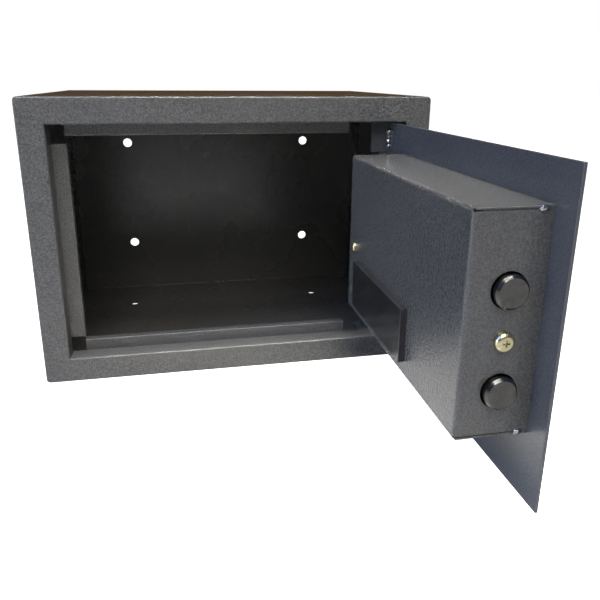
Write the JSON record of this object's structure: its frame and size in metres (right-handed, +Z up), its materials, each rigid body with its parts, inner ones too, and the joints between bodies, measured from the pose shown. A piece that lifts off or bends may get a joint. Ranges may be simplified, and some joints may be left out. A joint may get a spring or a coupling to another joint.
{
  "type": "wall safe",
  "caption": "Small sheet-steel wall safe with a recessed plate door, round live bolts, a keypad and knob, and an emergency key lock.",
  "frame": {"origin": "centre of the four wall-bolt holes, on the back panel's outer face", "axes": "+Y into the wall, +Z up, +X to the right as seen from the front"},
  "size_m": [0.351, 0.5075, 0.25],
  "materials": {
    "cabinet_paint": "fine hammertone powder coat, satin",
    "frame_paint": "fine hammertone powder coat, satin",
    "hinge_steel": "bright turned steel",
    "door_paint": "fine hammertone powder coat, satin",
    "cover_paint": "fine hammertone powder coat, satin",
    "yellow_zinc": "yellow passivated zinc",
    "zinc_steel": "bright zinc plate",
    "bolt_steel": "satin dark nickel",
    "bush_brass": "turned brass",
    "knob_plastic": "gloss moulded plastic",
    "bezel_plastic": "fine spark-eroded texture",
    "key_rubber": "soft-touch moulded keys",
    "board": "solder resist",
    "window_plastic": "smoked red lens",
    "solenoid_coil": "black oxide can",
    "plunger_steel": "ground steel",
    "lock_chrome": "bright nickel plate",
    "key_cover_plastic": "gloss moulded plastic",
    "battery_cover_plastic": "gloss black moulded plastic",
    "battery_box_plastic": "moulded plastic",
    "cell_sleeve": "printed shrink sleeve, plain",
    "contact_metal": "nickel-plated spring plate"
  },
  "bodies": {
    "cabinet": {"back_panel": "cabinet_paint", "cabinet_wrap": "cabinet_paint", "door_stop_bottom": "frame_paint", "door_stop_left": "frame_paint", "door_stop_top": "frame_paint", "front_frame": "frame_paint", "hinge_lug_bottom": "frame_paint", "hinge_lug_top": "frame_paint", "hinge_pin_bottom": "hinge_steel", "hinge_pin_top": "hinge_steel"},
    "door": {"batteries": "cell_sleeve", "battery_box": "battery_box_plastic", "battery_contacts": "contact_metal", "bezel_screws": "yellow_zinc", "carriage_guides": "zinc_steel", "cover_face_screw": "yellow_zinc", "cover_post": "zinc_steel", "cover_side_screw": "yellow_zinc", "cover_tab": "zinc_steel", "door_plate": "door_paint", "hinge_bracket_bottom": "door_paint", "hinge_bracket_top": "door_paint", "indicator_window": "window_plastic", "key_cover_screw": "zinc_steel", "key_lock_housing": "lock_chrome", "keypad_bezel": "bezel_plastic", "keypad_board": "board", "knob_bush": "bush_brass", "lock_cover": "cover_paint", "plunger_spring": "plunger_steel", "solenoid_body": "solenoid_coil"},
    "bolts": {"carriage_plate": "zinc_steel", "bolt_upper": "bolt_steel", "bolt_lower": "bolt_steel"},
    "knob": {"knob": "knob_plastic", "knob_spindle": "zinc_steel", "knob_cam": "zinc_steel"},
    "plunger": {"solenoid_plunger": "plunger_steel"},
    "battery_cover": {"battery_cover": "battery_cover_plastic"},
    "key_cover": {"key_cover": "key_cover_plastic"},
    "key_plug": {"key_plug": "lock_chrome"},
    "key_1": {"key_1": "key_rubber"},
    "key_2": {"key_2": "key_rubber"},
    "key_3": {"key_3": "key_rubber"},
    "key_4": {"key_4": "key_rubber"},
    "key_5": {"key_5": "key_rubber"},
    "key_6": {"key_6": "key_rubber"},
    "key_7": {"key_7": "key_rubber"},
    "key_8": {"key_8": "key_rubber"},
    "key_9": {"key_9": "key_rubber"},
    "key_star": {"key_star": "key_rubber"},
    "key_0": {"key_0": "key_rubber"},
    "key_hash": {"key_hash": "key_rubber"}
  },
  "joints": [
    {"name": "door_swing", "type": "hinge", "parent": "cabinet", "child": "door", "pos_m": [0.1335, -0.2225, 0], "axis": [0, 0, 1], "range_deg": [-90, 11]},
    {"name": "bolt_slide", "type": "slide", "parent": "door", "child": "bolts", "axis": [0, -1, 0], "range_m": [0, 0.018]},
    {"name": "knob_turn", "type": "hinge", "parent": "door", "child": "knob", "pos_m": [0.144, -0.418, 0.00075], "axis": [1, 0, 0], "range_deg": [0, 61]},
    {"name": "plunger_slide", "type": "slide", "parent": "door", "child": "plunger", "axis": [0, 0, 1], "range_m": [0, 0.003], "stiffness_N_per_m": 150, "springref_m": -0.003, "deforming": ["plunger_spring"]},
    {"name": "battery_cover_lift", "type": "slide", "parent": "door", "child": "battery_cover", "axis": [-1, 0, 0], "range_m": [0, 0.03]},
    {"name": "key_cover_swing", "type": "hinge", "parent": "door", "child": "key_cover", "pos_m": [0.16, -0.374, 0.0325], "axis": [-1, 0, 0], "range_deg": [0, 90]},
    {"name": "key_plug_turn", "type": "hinge", "parent": "door", "child": "key_plug", "pos_m": [0.144, -0.374, 0.02], "axis": [1, 0, 0], "range_deg": [0, 90]},
    {"name": "key_1_press", "type": "slide", "parent": "door", "child": "key_1", "axis": [-1, 0, 0], "range_m": [0, 0.0012], "stiffness_N_per_m": 600, "springref_m": -0.001},
    {"name": "key_2_press", "type": "slide", "parent": "door", "child": "key_2", "axis": [-1, 0, 0], "range_m": [0, 0.0012], "stiffness_N_per_m": 600, "springref_m": -0.001},
    {"name": "key_3_press", "type": "slide", "parent": "door", "child": "key_3", "axis": [-1, 0, 0], "range_m": [0, 0.0012], "stiffness_N_per_m": 600, "springref_m": -0.001},
    {"name": "key_4_press", "type": "slide", "parent": "door", "child": "key_4", "axis": [-1, 0, 0], "range_m": [0, 0.0012], "stiffness_N_per_m": 600, "springref_m": -0.001},
    {"name": "key_5_press", "type": "slide", "parent": "door", "child": "key_5", "axis": [-1, 0, 0], "range_m": [0, 0.0012], "stiffness_N_per_m": 600, "springref_m": -0.001},
    {"name": "key_6_press", "type": "slide", "parent": "door", "child": "key_6", "axis": [-1, 0, 0], "range_m": [0, 0.0012], "stiffness_N_per_m": 600, "springref_m": -0.001},
    {"name": "key_7_press", "type": "slide", "parent": "door", "child": "key_7", "axis": [-1, 0, 0], "range_m": [0, 0.0012], "stiffness_N_per_m": 600, "springref_m": -0.001},
    {"name": "key_8_press", "type": "slide", "parent": "door", "child": "key_8", "axis": [-1, 0, 0], "range_m": [0, 0.0012], "stiffness_N_per_m": 600, "springref_m": -0.001},
    {"name": "key_9_press", "type": "slide", "parent": "door", "child": "key_9", "axis": [-1, 0, 0], "range_m": [0, 0.0012], "stiffness_N_per_m": 600, "springref_m": -0.001},
    {"name": "key_star_press", "type": "slide", "parent": "door", "child": "key_star", "axis": [-1, 0, 0], "range_m": [0, 0.0012], "stiffness_N_per_m": 600, "springref_m": -0.001},
    {"name": "key_0_press", "type": "slide", "parent": "door", "child": "key_0", "axis": [-1, 0, 0], "range_m": [0, 0.0012], "stiffness_N_per_m": 600, "springref_m": -0.001},
    {"name": "key_hash_press", "type": "slide", "parent": "door", "child": "key_hash", "axis": [-1, 0, 0], "range_m": [0, 0.0012], "stiffness_N_per_m": 600, "springref_m": -0.001}
  ],
  "couplings": [
    {"joint": "knob_turn", "follows": "bolt_slide", "rad_per_m": 58.17}
  ]
}
